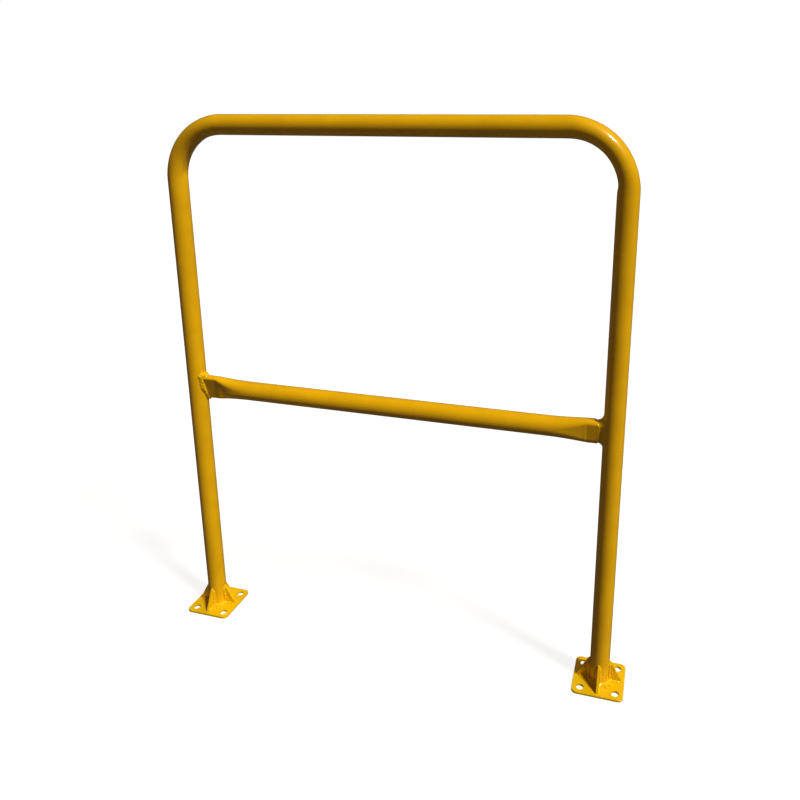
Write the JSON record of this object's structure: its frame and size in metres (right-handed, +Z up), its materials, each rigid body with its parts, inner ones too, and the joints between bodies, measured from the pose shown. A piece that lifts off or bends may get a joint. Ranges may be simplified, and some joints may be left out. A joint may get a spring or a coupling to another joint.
{
  "type": "hoop safety barrier",
  "caption": "Bolt-down tubular steel hoop barrier with a flattened-end mid rail, gusseted square base plates and a gloss yellow coat.",
  "frame": {"origin": "centre of the footprint on the floor, midway between the undersides of the two base plates", "axes": "+X along the barrier from the left post to the right post, -Y its front, +Z up"},
  "size_m": [1.0676, 0.11, 1.2],
  "materials": {
    "tube_coat": "gloss safety-yellow powder coat",
    "plate_coat": "gloss safety-yellow powder coat",
    "weld_coat": "gloss safety-yellow powder coat over the weld beads"
  },
  "bodies": {
    "root": {"hoop_tube": "tube_coat", "mid_rail": "tube_coat", "base_plate_left": "plate_coat", "base_plate_right": "plate_coat", "gusset_left_front": "plate_coat", "gusset_left_back": "plate_coat", "gusset_left_inner": "plate_coat", "gusset_left_outer": "plate_coat", "gusset_right_front": "plate_coat", "gusset_right_back": "plate_coat", "gusset_right_inner": "plate_coat", "gusset_right_outer": "plate_coat", "rail_weld_left": "weld_coat", "rail_weld_right": "weld_coat", "foot_weld_left_front_inner": "weld_coat", "foot_weld_left_front_outer": "weld_coat", "foot_weld_left_back_inner": "weld_coat", "foot_weld_left_back_outer": "weld_coat", "foot_weld_right_front_inner": "weld_coat", "foot_weld_right_front_outer": "weld_coat", "foot_weld_right_back_inner": "weld_coat", "foot_weld_right_back_outer": "weld_coat"}
  },
  "joints": []
}
